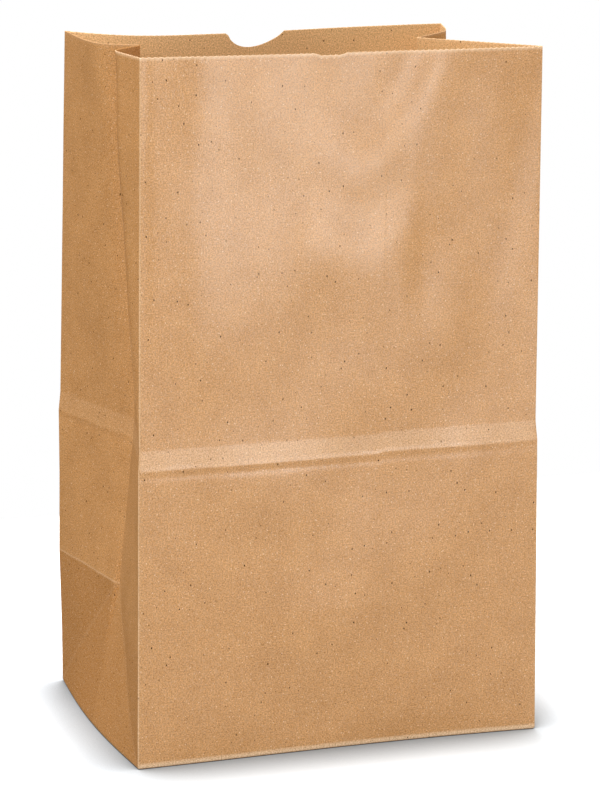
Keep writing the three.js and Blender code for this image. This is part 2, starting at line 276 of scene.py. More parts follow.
def sharp_sheet(size, u, v):
    """The folded sheet before its folds are rounded, as a function of two lengths.

    u runs round the bag and v up the wall from the base fold; below 0, v runs inward under the base.
    A wall point is a straight mix between the folds, creases and bends of its panel at height v,
    which are themselves straight lines between base, band and mouth. Under the base each panel goes
    on level and narrows at 45 degrees to a flap.
    """
    panel, share = panel_of(size, u)
    z = np.maximum(v, 0)
    inward = np.maximum(-v, 0)
    half_depth_at_base = size.depth / 2
    band_top = size.band_bottom + size.band_height
    heights = [0, size.band_bottom, band_top, size.height]
    band_half = size.width / 2
    band_depth = math.sqrt(half_depth_at_base ** 2 - LEFT_TUCKS[0] ** 2)
    z_band = z - band_climb(size, u) * (z < size.height)
    half_width = np.interp(z_band, heights, [
        size.width / 2 + BASE_SPARE, band_half, band_half - size.band_step, size.width / 2 - MOUTH_PINCH])
    half_depth = np.interp(z_band, heights, [
        half_depth_at_base + BASE_SPARE, band_depth, band_depth - size.band_step,
        half_depth_at_base - MOUTH_LEAN])
    opened = np.clip((z - band_top) / (size.height - band_top), 0, 1)
    low = np.clip(1 - z / half_depth_at_base, 0, 1)

    # Front and back panels: straight across, waisted at the base, bulged or dented at the mouth
    across = np.where(panel == BACK, 1 - share, share)
    hump = np.sin(np.pi * across)
    waist = np.sin(np.pi * across ** (math.log(0.5) / math.log(WAIST_PLACE)))
    dent_power = math.log(0.5) / math.log(BACK_DENT_PLACE)
    dent = BACK_DENT * np.sin(np.pi * across ** dent_power).clip(0) ** 1.5 * opened
    pushed = np.where(panel == BACK, -dent, FRONT_BULGE * hump * opened)
    flat_x = (2 * across - 1) * half_width
    flat_y = TOWARDS_FOLD_Y[panel] * (half_depth - BASE_WAIST * waist * low + pushed)
    narrowing = 1 - inward / (size.width / 2)
    flat_x = flat_x * narrowing
    flat_y = flat_y - TOWARDS_FOLD_Y[panel] * inward

    # Side panels: c is 0 at the outer fold and 1 at the middle crease
    c = np.where(RUNS_TO_CREASE[panel], share, 1 - share)
    out = OUTWARD_X[panel]
    tuck_heights = [0, half_depth_at_base, size.band_bottom, size.height]
    tuck = np.where(out < 0, np.interp(z, tuck_heights, [0, APEX_TUCK, *LEFT_TUCKS]),
                    np.interp(z, tuck_heights, [0, APEX_TUCK, *RIGHT_TUCKS]))
    fold_y = TOWARDS_FOLD_Y[panel] * half_depth
    crease_x = out * (half_width - tuck)
    crease_y = -CREASE_FORWARD * opened
    top_share = np.hypot(BEND_ALONG, BEND_INWARD)[panel] / half_depth_at_base
    low_share = top_share * BEND_KEEPS_SHARE[panel]
    bend_share = mix(low_share, top_share, opened)
    top_x = out * (size.width / 2 - MOUTH_PINCH - BEND_INWARD[panel])
    top_y = TOWARDS_FOLD_Y[panel] * (half_depth_at_base - MOUTH_LEAN - BEND_ALONG[panel])
    bend_x = mix(mix(out * half_width, crease_x, low_share), top_x, opened)
    bend_y = mix(mix(fold_y, crease_y, low_share), top_y, opened)
    bend_share = np.maximum(bend_share, 1e-6)
    softness = BEND_SOFTNESS[panel] * np.minimum(bend_share, 1 - bend_share)
    after = past_bend(c, bend_share, softness)
    before = (c - (1 - bend_share) * after) / bend_share
    side_x = out * half_width + (bend_x - out * half_width) * before + (crease_x - bend_x) * after
    side_y = fold_y + (bend_y - fold_y) * before + (crease_y - bend_y) * after

    # Below the apex a side panel is flat triangles that meet on the diagonals
    in_block = z <= half_depth_at_base
    bulge = BASE_BULGE * low * np.sin(np.pi * c / 2)
    block_x = out * (half_width - APEX_TUCK * np.minimum(c, 1 - low) + bulge)
    side_x = np.where(in_block, block_x, side_x) - out * inward
    side_y = np.where(in_block, mix(fold_y, 0, c), side_y)
    side_y = side_y * (1 - np.minimum(inward, half_depth_at_base - APEX_GAP) / half_depth_at_base)

    is_flat = (panel == FRONT) | (panel == BACK)
    x = np.where(is_flat, flat_x, side_x)
    y = np.where(is_flat, flat_y, side_y)

    # The flaps lie in layers: front flap outside, then the back flap, then the ends
    layer = FLAP_LAYERS[panel] * size.paper
    z = z + layer * smooth_step(inward / (2 * MM))

    # The whole bag stands a little askew, more so at the band and the mouth than at the base
    side_skew = np.interp(z, heights, SIDE_SKEWS)
    front_slope = np.interp(z, heights, FRONT_SLOPES) * (half_depth - y) / (2 * half_depth)
    return np.stack([x - side_skew * y + np.interp(z, heights, SHIFTS), y + front_slope * x, z], axis=-1)


def rounded_sheet(size, u, v):
    """The sheet with rounded folds: each point is the weighted mean of the sharp sheet over a small
    window of u and v, which leaves flat paper as it is and turns a fold into a curve. The window is
    taller at the base fold and over the triangles of the block."""
    total = np.zeros(u.shape + (3,))
    on_side = np.isin(panel_of(size, u)[0], SIDES)
    in_block = smooth_step(v / (8 * MM)) * smooth_step((size.depth / 2 - v) / (4 * MM))
    radius_v = size.fold_radius * (1 + bell(v, BASE_FOLD_REACH) + BLOCK_ROUNDING * in_block * on_side)
    for place_u, weight_u in zip(WINDOW_PLACES, WINDOW_WEIGHTS):
        for place_v, weight_v in zip(WINDOW_PLACES, WINDOW_WEIGHTS):
            point = sharp_sheet(size, u + place_u * size.fold_radius, v + place_v * radius_v)
            total += weight_u * weight_v * point
    return total / WINDOW_WEIGHTS.sum() ** 2


def ridge(x, z, points, half_width, height):
    """A soft ridge along a path of straight runs: height times a bell of the distance to the path."""
    nearest = np.full(np.broadcast(x, z).shape, np.inf)
    for (x0, z0), (x1, z1) in zip(points[:-1], points[1:]):
        dx, dz = x1 - x0, z1 - z0
        along = np.clip(((x - x0) * dx + (z - z0) * dz) / (dx * dx + dz * dz), 0, 1)
        nearest = np.minimum(nearest, np.hypot(x - x0 - along * dx, z - z0 - along * dz))
    return height * bell(nearest, half_width)


# Soft ridges and grooves of the handled front panel: path across and up, half width, height, in mm
FRONT_RIDGES = (
    (((43, 254), (15, 222), (3, 211)), 8, 0.45),
    (((28, 252), (9, 226)), 6, -0.4),
    (((26, 208), (8, 198), (-8, 204)), 8, -0.4),
    (((30, 192), (12, 180), (-14, 186)), 8, 0.35),
    (((-52, 254), (-50, 215)), 6, 0.25),
    (((-30, 160), (12, 136), (50, 150)), 14, 0.3),
    (((-60, 78), (-10, 52), (30, 62)), 12, 0.25),
    (((5, 40), (24, 8)), 9, 0.25),
)

# Long waves of the whole sheet: length in mm, angle and phase in radians, height in mm
SHEET_WAVES = (
    (74, 0.5, 0.3, 0.32),
    (58, 2.2, 1.9, 0.24),
    (41, 1.2, 4.1, 0.13),
    (29, 2.8, 0.8, 0.08),
    (23, 0.1, 2.7, 0.05),
)

# The swell of the front panel: heights at places across it and the offsets that soften them, in mm, how
# far its right edge leans for each mm below the mouth, where it starts over the band, and how far it
# takes to grow
SWELL_PLACES = (-76, -56, 34, 76)
SWELL_HEIGHTS = (0, 1.3, 1.9, 0)
SWELL_BLUR = (-3, -1, 0, 1, 3)
SWELL_LEAN = 0.2
SWELL_START = 4 * MM
SWELL_RISE = 60 * MM

# The pressed creases: depth of the band's lower one, and height, reach and first strength of the block's
BAND_PRESS = 0.2 * MM
BLOCK_RIDGE = 1.5 * MM
BLOCK_RIDGE_REACH = 30 * MM
BLOCK_RIDGE_START = 0.35


def band_ridge(size, u, v):
    """The pressed lower bundle crease: a narrow proud bell on the crease and a wider shallow hollow
    just below it, so that the paper turns down there and holds a thin shade. It weakens to the right
    across the front panel."""
    below = (size.band_bottom + band_climb(size, u) - v) / MM
    panel, share = panel_of(size, u)
    strength = np.select([panel == FRONT, panel == BACK], [1 - 0.6 * share, 1], 0.4)
    proud, hollow = bell(below, 0.8), bell(below - 2.3, 1.3)
    return strength * BAND_PRESS * (proud - hollow)


def block_ridge(size, u, v):
    """The level crease at the top of the base block on the left rear half and the back panel: the paper
    stands proud on the crease, falls away in straight slopes and ends at the middle crease."""
    panel, share = panel_of(size, u)
    slope = (1 - np.abs(v - size.depth / 2) / BLOCK_RIDGE_REACH).clip(0)
    rear = mix(BLOCK_RIDGE_START, 1, share) * smooth_step((1 - share) * size.depth / (5 * MM))
    on_back = BLOCK_RIDGE_START * share ** 2
    return np.select([panel == LEFT_REAR, panel == BACK], [rear, on_back], 0) * BLOCK_RIDGE * slope


def pillow(size, x, v):
    """The swell of the front panel above the band: straight slopes between the swell's places, with
    soft folds between them, and a right edge that leans in as it goes down. x is the place across the
    panel in mm."""
    below = (size.height - v) / MM
    leaning = x + SWELL_LEAN * below * np.clip(x / 30, 0, 1)
    swell = sum(np.interp(leaning + off, SWELL_PLACES, SWELL_HEIGHTS) for off in SWELL_BLUR)
    swell = swell / len(SWELL_BLUR) * smooth_step((SWELL_PLACES[-1] - np.abs(x)) / 5)
    band_top = size.band_bottom + size.band_height
    return swell * MM * smooth_step((v - band_top - SWELL_START) / SWELL_RISE)


def soft_dents(size, u, v):
    """How far the paper stands proud of its flat panels: long shallow waves, sums of sines of the
    place on the sheet, that die out towards the folds, and the soft ridges of the front panel."""
    panel, share = panel_of(size, u)
    calm = np.sin(np.pi * share) ** 0.7 * smooth_step(v / (14 * MM))
    waves = np.zeros(np.broadcast(u, v).shape)
    for length, angle, phase, height in SHEET_WAVES:
        along = u * math.cos(angle) + v * math.sin(angle)
        waves = waves + height * MM * np.sin(2 * np.pi * along / (length * MM) + phase)
    x = (share - 0.5) * size.width / MM
    on_front = sum(ridge(x, v / MM, *shape) for shape in FRONT_RIDGES)
    on_front = np.where(panel == FRONT, calm * on_front * MM + pillow(size, x, v), 0)
    pressed = np.sin(np.pi * share) ** 0.3 * band_ridge(size, u, v)
    return calm * waves + on_front + pressed + block_ridge(size, u, v)


def cut_drop(size, u):
    """How far the cut edge lies below its tips: a saw wave along the sheet, or the thumb notch, half
    an ellipse, in the back panel, and a shallow nick in the front panel. The rear left corner lifts."""
    panel, share = panel_of(size, u)
    edges = panel_edges(size)
    widths = np.diff(edges)[panel]
    teeth = np.round(widths / size.tooth_pitch)
    saw = TEETH[panel] * size.tooth_depth * np.abs(2 * np.mod(share * teeth, 1) - 1)
    across = np.where(panel == BACK, 0.5 - share, share - 0.5) * widths
    off_middle = np.clip(2 * (across - NOTCH_PLACE) / size.notch_width, -1, 1)
    off_deepest = off_middle + NOTCH_SKEW * (1 - off_middle ** 2)
    notch = np.where(panel == BACK, size.notch_depth * (1 - off_deepest ** 2).clip(0) ** 0.65, 0)
    nick = smooth_step((NICK_WIDTH / 2 - np.abs(across - NICK_PLACE)) / (2 * MM))
    to_corner = np.abs(np.mod(u, edges[-1]) - edges[BACK + 1])
    lift = RIM_LIFT * bell(to_corner, RIM_LIFT_REACH)
    return np.maximum(saw, notch) + np.where(panel == FRONT, NICK_DEPTH * nick, 0) - lift


def sheet_columns(size):
    """Places along the sheet: two to a tooth, with closer ones at the folds and the seam's edge."""
    edges = panel_edges(size)
    teeth = np.round(np.diff(edges) / size.tooth_pitch).astype(int)
    even = np.concatenate([np.linspace(a, b, 2 * n, endpoint=False)
                           for a, b, n in zip(edges[:-1], edges[1:], teeth)])
    near = np.array([-1, -0.55, -0.25, 0.25, 0.55, 1]) * size.fold_radius
    folds = (edges[:-1, None] + near).ravel()
    seam = size.width / 2 + SEAM_EDGE + np.array([-0.5, 0.5]) * MM
    return np.unique(np.round(np.mod(np.concatenate([even, folds, seam]), edges[-1]), 6))


def sheet_rows(size):
    """Heights up the sheet, negative under the base, closer together at the folds and creases."""
    half = size.depth / 2
    band_top = size.band_bottom + size.band_height
    flap = half + FLAP_LAP / 2
    fine = np.array([-1, -0.5, 0, 0.5, 1]) * size.fold_radius
    pitch = half / np.round(half / size.tooth_pitch)
    parts = [
        [-flap, -half, APEX_GAP - half],
        np.linspace(6 * MM - half, -5 * MM, 3),
        np.linspace(-2.4, 2.4, 8) * MM,
        np.arange(2 * pitch, half - pitch / 2, pitch),
        half + fine * 1.5,
        np.linspace(half + 4 * MM, size.band_bottom - 7 * MM, 6),
        np.linspace(size.band_bottom - 5 * MM, size.band_bottom + 2 * MM, 13),
        [(size.band_bottom + band_top) / 2],
        band_top + np.linspace(-1.6, 2, 7) * MM,
        np.linspace(band_top + 5 * MM, size.height - RIM_STRIP, 22),
        size.height - RIM_STRIP * np.array([0.5, 0.15, 0.04, 0]),
    ]
    return np.unique(np.round(np.concatenate(parts), 6))


def sheet_normals(points):
    """Unit normals of a closed grid of points: the cross product of its steps round the bag and up it."""
    ahead = np.roll(points, -1, axis=1) - np.roll(points, 1, axis=1)
    up = np.gradient(points, axis=0)
    normal = np.cross(ahead, up)
    return normal / np.maximum(np.linalg.norm(normal, axis=-1, keepdims=True), 1e-12)


def sheet_skins(size, u, v):
    """Points of the outer and inner skins at the places u and v on the sheet: the rounded sheet is
    pushed out along its normals by its dents and the lap of the seam, and the inner skin lies a paper
    thickness within the outer one."""
    middle = rounded_sheet(size, u, v)
    past_edge = u - size.width / 2 - SEAM_EDGE
    lap = smooth_step(1 + past_edge / SEAM_LAP) * (past_edge < 0)
    open_lap = smooth_step(v / SEAM_OPENS) * smooth_step((size.height - v) / SEAM_OPENS)
    raised = soft_dents(size, u, v) + SEAM_RISE * size.paper * lap * open_lap
    outer = middle + sheet_normals(middle) * raised[..., None]
    inner = outer - sheet_normals(outer) * size.paper
    return outer, inner


def sheet_faces(size, columns, rows):
    """Faces of the two skins over the grid of columns and rows, and of the strips that join their free
    edges. Under the base a side panel ends at its apex, and quads are split along the diagonals of the
    block. Returns the faces and how many of the last ones are strips."""
    panel = panel_of(size, 0.5 * (columns + np.append(columns[1:], panel_edges(size)[-1])))[0]
    long_flap = (panel == FRONT) | (panel == BACK)
    cells = (rows[:-1, None] > -size.depth / 2) | long_flap[None, :]
    row_count, column_count = len(rows), len(columns)
    index = np.arange(row_count * column_count).reshape(row_count, column_count)
    ahead = np.roll(index, -1, axis=1)
    quads = np.stack([index[:-1], ahead[:-1], ahead[1:], index[1:]], axis=-1)
    falling = (panel == LEFT_FRONT) | (panel == RIGHT_REAR)
    quads = np.where(falling[None, :, None], np.roll(quads, -1, axis=-1), quads)[cells]
    inner_first = row_count * column_count

    # Free edges, each in the direction of the outer cell that it bounds
    below = np.vstack([np.zeros((1, column_count), bool), cells])
    above = np.vstack([cells, np.zeros((1, column_count), bool)])
    low = np.stack([index, ahead], axis=-1)[above & ~below]
    high = np.stack([ahead, index], axis=-1)[below & ~above]
    behind = np.roll(cells, 1, axis=1)
    left = np.stack([index[1:], index[:-1]], axis=-1)[cells & ~behind]
    right = np.stack([index[:-1], index[1:]], axis=-1)[behind & ~cells]
    free = np.concatenate([low, high, left, right])
    border = np.concatenate([free[:, ::-1], free + inner_first], axis=-1)
    return np.concatenate([quads, quads[:, [0, 3, 2, 1]] + inner_first, border]), len(border)


def sheet_map_corners(size, u, v, faces):
    """Places of the faces' corners on the sheet laid flat, with the inner skin beside the outer one.
    A face that closes the round is carried past the end of the sheet."""
    length = panel_edges(size)[-1]
    flat = np.stack([u, v + MAP_BASE], axis=-1).reshape(-1, 2)
    flat = np.concatenate([flat, flat + [0, MAP_INNER]])
    corners = flat[faces]
    wraps = np.ptp(corners[..., 0], axis=1) > length / 2
    corners[..., 0] += np.where(wraps[:, None] & (corners[..., 0] < length / 2), length, 0)
    return corners


def sheet_tones(size, u, v):
    """Shares from 0 to 1 that the paper reads at each place, on the outer and on the inner skin: scuffs
    on folds and creases, painted light on the heel, scuffs and painted sheen on the band, the pale cut
    edge, the glaze, the pale inner face with painted light and shade, and painted shade. Each is the
    greatest of bells of the distance to a fold, a crease or the cut."""
    edges = panel_edges(size)
    length = edges[-1]
    half = size.depth / 2
    far = 1.0
    panel = panel_of(size, u)[0]
    side = np.isin(panel, SIDES)
    round_way = np.mod(u[..., None] - edges[[0, 1, 3, 4]] + length / 2, length) - length / 2
    from_fold = np.min(np.abs(round_way), axis=-1)
    to_fold = np.where(v < 0, np.maximum(from_fold, -v), np.minimum(from_fold, np.abs(v)))
    to_cut = size.height - cut_drop(size, u) - v
    to_level = np.where(np.isin(panel, (BACK, LEFT_REAR)), np.abs(v - half), far)
    to_diagonal = np.where(side & (v > 0) & (v < half), np.abs(from_fold - v), far)
    over_band = v - size.band_bottom - band_climb(size, u)
    blur = 0.4 * MM
    in_band = smooth_step(over_band / blur) * smooth_step((size.band_height - over_band) / blur)

    # The bend of the left front half: past it the paper is hidden in the tuck
    opened = (over_band - size.band_height) / (size.height - size.band_bottom - size.band_height)
    bend = opened.clip(0) * BEND_ALONG[LEFT_FRONT]
    to_bend = np.where(panel == LEFT_FRONT, length - u - bend, far)
    bend_grows = smooth_step(2.5 * opened)

    # The heel: a pale strip of painted light along the base fold, for the floor's light on it
    heel = np.exp(-((v - HEEL_PLACE) / HEEL_WIDTH) ** 4)
    scuffs = (
        (FOLD_SCUFF, to_fold, 1),
        (LEVEL_CREASE_SCUFF, to_level, 1),
        (DIAGONAL_SCUFF, to_diagonal, 1),
        (BEND_SCUFF, to_bend, bend_grows),
    )
    wear_and_light = [strength * bell(distance, width) * share for (strength, width), distance, share in scuffs]
    # The heel is painted light, and the band is pale from scuffs and a painted sheen
    wear_and_light += [np.where(side, 0, HEEL_PAINTED_LIGHT * heel), np.where(side, SIDE_BAND_SCUFF_AND_SHEEN, BAND_SCUFF_AND_SHEEN) * in_band]
    wear_and_light = np.max(wear_and_light, axis=0)
    at_cut = bell(to_cut, CUT_SCUFF_WIDTH)
    cut = np.where((to_bend > 0.5 * MM) & (to_bend < far), 0, at_cut * CUT_PALE[panel])

    # Painted shade: the side panels darker below the level crease, and the left front half darker towards
    # the bottom below its apex
    under_crease = smooth_step((half - v) / (0.8 * MM))
    under_apex = APEX_SHADE * smooth_step((half + 6 * MM - v) / (30 * MM))
    painted_shade = np.where(side, np.where(panel == LEFT_FRONT, under_apex, under_crease), 0)
    # Painted shade along the bend of the left front half, where the tuck turns away
    bend_shade = bell(to_bend, BEND_SHADE_WIDTH) * bend_grows
    # Painted shade also darkens the cut edge of the back and side panels
    painted_shade = np.max([painted_shade, bend_shade, CUT_PAINTED_SHADE[panel] * at_cut], axis=0)
    # On the inner skin, painted shade over the paper hidden in the tuck and along the dark cut edges
    tucked_shade = np.maximum(painted_shade * (to_cut < 0.6 * MM), (to_bend > 0) & (to_bend < far))
    plain = np.zeros(u.shape)
    return {
        "fold_wear_and_painted_light": (wear_and_light, wear_and_light),
        "cut_edge": (cut, cut),
        "glaze": (np.where(side, 0.0, 1.0), plain),
        # The pale inner face, partly painted light and shade in its strength on each panel
        "inside": (plain, INSIDE_PALE_AND_PAINTED_LIGHT[panel]),
        "painted_shade": (painted_shade, tucked_shade),
    }


def bag_mesh(size):
    """One closed mesh of the sheet: outer and inner skins on one grid of columns and rows, joined along
    every free edge. The rows bend to follow the climb of the band and the cut edge."""
    columns = sheet_columns(size)
    rows = sheet_rows(size)
    u, v = np.meshgrid(columns, rows)
    to_band = np.abs(v - size.band_bottom - size.band_height / 2)
    v = v + band_climb(size, u) * smooth_step((25 * MM - to_band) / (17 * MM))
    in_strip = np.clip((v - (size.height - RIM_STRIP)) / RIM_STRIP, 0, 1)
    v = v - cut_drop(size, u) * in_strip

    outer, inner = sheet_skins(size, u, v)
    faces, strips = sheet_faces(size, columns, rows)
    corners = sheet_map_corners(size, u, v, faces)
    used, faces = np.unique(faces, return_inverse=True)
    faces = faces.reshape(-1, 4)
    points = np.concatenate([outer.reshape(-1, 3), inner.reshape(-1, 3)])[used]
    points[:, 2] = points[:, 2].clip(0)

    # The strips are shaded flat, so that the cut edge stays sharp
    mesh = bpy.data.meshes.new("kraft_bag")
    mesh.from_pydata(points, [], faces)
    mesh.polygons.foreach_set("use_smooth", np.arange(len(faces)) < len(faces) - strips)
    sheet_map = mesh.uv_layers.new(name="sheet")
    sheet_map.data.foreach_set("uv", corners.astype(np.float32).ravel())
    for name, (on_outer, on_inner) in sheet_tones(size, u, v).items():
        field = mesh.attributes.new(name, "FLOAT", "POINT")
        both = np.concatenate([on_outer.ravel(), on_inner.ravel()])[used]
        field.data.foreach_set("value", both.astype(np.float32))
    mesh.validate()
    return mesh


def add_node(tree, kind, settings=None, inputs=None):
    """Adds a node, sets its properties, and sets or links its inputs by name or number."""
    node = tree.nodes.new(kind)
    for name, value in (settings or {}).items():
        setattr(node, name, value)
    for name, value in (inputs or {}).items():
        if isinstance(value, bpy.types.NodeSocket):
            tree.links.new(value, node.inputs[name])
        else:
            node.inputs[name].default_value = value
    return node


def kraft_paper(colours):
    """Unbleached kraft paper, machine glazed and uncoated: soft clouds where the pulp is denser, a
    fine grain of pale fibres, scattered dark specks of bark, and paler paper where folds and cut
    edges are scuffed. Painted light makes the heel of the base fold pale, scuffs and painted sheen
    make the band pale, the paler inner face is partly painted light and shade, and painted shade
    darkens the block, the bend and tuck of the left front half and dark cut edges. The smooth glazed
    face of the wide panels gives a broad pale sheen."""
    material = bpy.data.materials.new("kraft_paper")
    material.use_nodes = True
    tree = material.node_tree
    shader = tree.nodes["Principled BSDF"]
    place = add_node(tree, "ShaderNodeUVMap", {"uv_map": "sheet"}).outputs["UV"]
    flat_noise = {"noise_dimensions": "2D"}
    flat_cells = {"voronoi_dimensions": "2D"}
    colour_mix = {"data_type": "RGBA"}

    # Clouds of pulp about 14 mm across, and grain about 0.5 mm across, drawn as coarse as it shows
    cloud = add_node(tree, "ShaderNodeTexNoise", flat_noise,
                     {"Vector": place, "Scale": 1 / (14 * MM), "Detail": 5.0, "Roughness": 0.68})
    grain = add_node(tree, "ShaderNodeTexNoise", flat_noise,
                     {"Vector": place, "Scale": 1 / (0.55 * MM), "Detail": 3.0, "Roughness": 0.75})
    # Fibres 0.5 mm wide and 2.5 mm long, lying up the sheet and drawn as coarse as they show
    along = add_node(tree, "ShaderNodeMapping", None,
                     {"Vector": place, "Scale": (1 / (0.5 * MM), 1 / (2.5 * MM), 1)})
    fibres = add_node(tree, "ShaderNodeTexNoise", flat_noise,
                      {"Vector": along.outputs["Vector"], "Scale": 1.0, "Detail": 2.0, "Distortion": 1.2})
    # Pale mottle about 0.6 mm across, where the pulp is bleached
    mottle = add_node(tree, "ShaderNodeTexNoise", flat_noise,
                      {"Vector": place, "Scale": 1 / (0.6 * MM), "Detail": 2.0, "Roughness": 0.7,
                       "Distortion": 2.0})
    # One speck of bark in each cell of 3.6 by 5.4 mm, most of them too small to show
    strewn = add_node(tree, "ShaderNodeMapping", None,
                      {"Vector": place, "Rotation": (0, 0, 0.6),
                       "Scale": (1 / (3.6 * MM), 1 / (5.4 * MM), 1)})
    cell = add_node(tree, "ShaderNodeTexVoronoi", flat_cells,
                    {"Vector": strewn.outputs["Vector"], "Scale": 1.0})
    luck = add_node(tree, "ShaderNodeSeparateColor", None, {"Color": cell.outputs["Color"]})
    speck_size = add_node(tree, "ShaderNodeMapRange", None,
                          {"Value": luck.outputs["Red"], "From Min": 0.64, "From Max": 1.0,
                           "To Min": 0.0, "To Max": 0.074})
    speck = add_node(tree, "ShaderNodeMath", {"operation": "LESS_THAN"},
                     {0: cell.outputs["Distance"], 1: speck_size.outputs["Result"]})
    # One pale fleck in each 2.2 mm cell, of chance size
    fleck_cell = add_node(tree, "ShaderNodeTexVoronoi", flat_cells,
                          {"Vector": place, "Scale": 1 / (2.2 * MM)})
    fleck_luck = add_node(tree, "ShaderNodeSeparateColor", None, {"Color": fleck_cell.outputs["Color"]})
    fleck_size = add_node(tree, "ShaderNodeMapRange", None,
                          {"Value": fleck_luck.outputs["Green"], "From Min": 0.35, "To Max": 0.1})
    fleck = add_node(tree, "ShaderNodeMath", {"operation": "LESS_THAN"},
                     {0: fleck_cell.outputs["Distance"], 1: fleck_size.outputs["Result"]})

    # Body of the paper: clouds, then the painted shade, then the paler inner face, which is partly
    # painted light and shade
    cloudy = add_node(tree, "ShaderNodeMapRange", None,
                      {"Value": cloud.outputs["Fac"], "From Min": 0.2, "From Max": 0.8})
    body = add_node(tree, "ShaderNodeMix", colour_mix,
                    {"Factor": cloudy.outputs["Result"],
                     "A": (*colours.kraft_dark, 1), "B": (*colours.kraft, 1)})
    for tone, colour in (("painted_shade", colours.kraft_painted_shade), ("inside", colours.kraft_inside)):
        share = add_node(tree, "ShaderNodeAttribute", {"attribute_name": tone})
        body = add_node(tree, "ShaderNodeMix", colour_mix,
                        {"Factor": share.outputs["Fac"], "A": body.outputs["Result"], "B": (*colour, 1)})

    # Dense grain is darker and browner than the thin pulp between it
    dense = add_node(tree, "ShaderNodeMapRange", None,
                     {"Value": grain.outputs["Fac"], "From Min": 0.3, "From Max": 0.7})
    grainy = add_node(tree, "ShaderNodeMix", colour_mix,
                      {"Factor": dense.outputs["Result"],
                       "A": (*GRAIN_DENSE, 1), "B": (*GRAIN_THIN, 1)})
    grained = add_node(tree, "ShaderNodeMix", {"data_type": "RGBA", "blend_type": "MULTIPLY"},
                       {"Factor": 1.0, "A": body.outputs["Result"], "B": grainy.outputs["Result"]})

    # Pale fibres, mottle and flecks over the grain
    bleached = add_node(tree, "ShaderNodeMapRange", None,
                        {"Value": mottle.outputs["Fac"], "From Min": 0.42, "From Max": 0.75,
                         "To Max": 0.3})
    pale = add_node(tree, "ShaderNodeMapRange", None,
                    {"Value": fibres.outputs["Fac"], "From Min": 0.6, "From Max": 0.75, "To Max": 0.25})
    pale = add_node(tree, "ShaderNodeMath", {"operation": "MAXIMUM"},
                    {0: pale.outputs["Result"], 1: bleached.outputs["Result"]})
    flecked = add_node(tree, "ShaderNodeMath", {"operation": "MULTIPLY_ADD", "use_clamp": True},
                       {0: fleck.outputs["Value"], 1: 0.6, 2: pale.outputs["Value"]})

    # Scuffed folds, painted light on the heel and scuffs with painted sheen on the band, broken up by
    # the grain, and the pale cut edge
    worn_and_lit = add_node(tree, "ShaderNodeAttribute", {"attribute_name": "fold_wear_and_painted_light"})
    cut = add_node(tree, "ShaderNodeAttribute", {"attribute_name": "cut_edge"})
    broken = add_node(tree, "ShaderNodeMapRange", None,
                      {"Value": grain.outputs["Fac"], "From Min": 0.35, "From Max": 0.65,
                       "To Min": 0.3, "To Max": 1.1})
    scuff_and_light = add_node(tree, "ShaderNodeMath", {"operation": "MULTIPLY"},
                     {0: worn_and_lit.outputs["Fac"], 1: broken.outputs["Result"]})
    scuffed_and_lit = add_node(tree, "ShaderNodeMath", {"operation": "MULTIPLY_ADD", "use_clamp": True},
                       {0: cut.outputs["Fac"], 1: 0.85, 2: scuff_and_light.outputs["Value"]})
    paper = grained
    for share, colour in ((flecked, colours.fibre_and_painted_light), (scuffed_and_lit, colours.fibre_and_painted_light), (speck, colours.speck)):
        paper = add_node(tree, "ShaderNodeMix", colour_mix,
                         {"Factor": share.outputs["Value"], "A": paper.outputs["Result"],
                          "B": (*colour, 1)})
    tree.links.new(paper.outputs["Result"], shader.inputs["Base Color"])

    relief = add_node(tree, "ShaderNodeMath", {"operation": "ADD"},
                      {0: grain.outputs["Fac"], 1: fibres.outputs["Fac"]})
    bump = add_node(tree, "ShaderNodeBump", None,
                    {"Strength": 0.25, "Distance": 0.1 * MM, "Height": relief.outputs["Value"]})
    tree.links.new(bump.outputs["Normal"], shader.inputs["Normal"])

    # Glaze on the wide panels only, and none on the bark
    glaze = add_node(tree, "ShaderNodeAttribute", {"attribute_name": "glaze"})
    clear = add_node(tree, "ShaderNodeMath", {"operation": "GREATER_THAN"},
                     {0: cell.outputs["Distance"], 1: speck_size.outputs["Result"]})
    glazed = add_node(tree, "ShaderNodeMath", {"operation": "MULTIPLY"},
                      {0: glaze.outputs["Fac"], 1: clear.outputs["Value"]})
    level = add_node(tree, "ShaderNodeMath", {"operation": "MULTIPLY"},
                     {0: glazed.outputs["Value"], 1: PANEL_GLAZE})
    tree.links.new(level.outputs["Value"], shader.inputs["Specular IOR Level"])
    rough = add_node(tree, "ShaderNodeMapRange", None,
                     {"Value": glazed.outputs["Value"],
                      "To Min": PLAIN_ROUGHNESS, "To Max": GLAZED_ROUGHNESS})
    tree.links.new(rough.outputs["Result"], shader.inputs["Roughness"])
    return material


class LUNCHBAG_OT_fold_bag(Operator):
    """Folds the kraft sheet into the open bag and gives it its paper"""

    bl_idname = "lunch_bag.fold_bag"
    bl_label = "Fold Bag"

    def execute(self, context):
        bag = bpy.data.objects.new("kraft_bag", bag_mesh(context.scene.lunch_bag_sizes))
        context.scene.collection.objects.link(bag)
        bag.data.materials.append(kraft_paper(context.scene.lunch_bag_colours))
        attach(bag, "root")
        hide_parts("paper_bag")
        return {"FINISHED"}


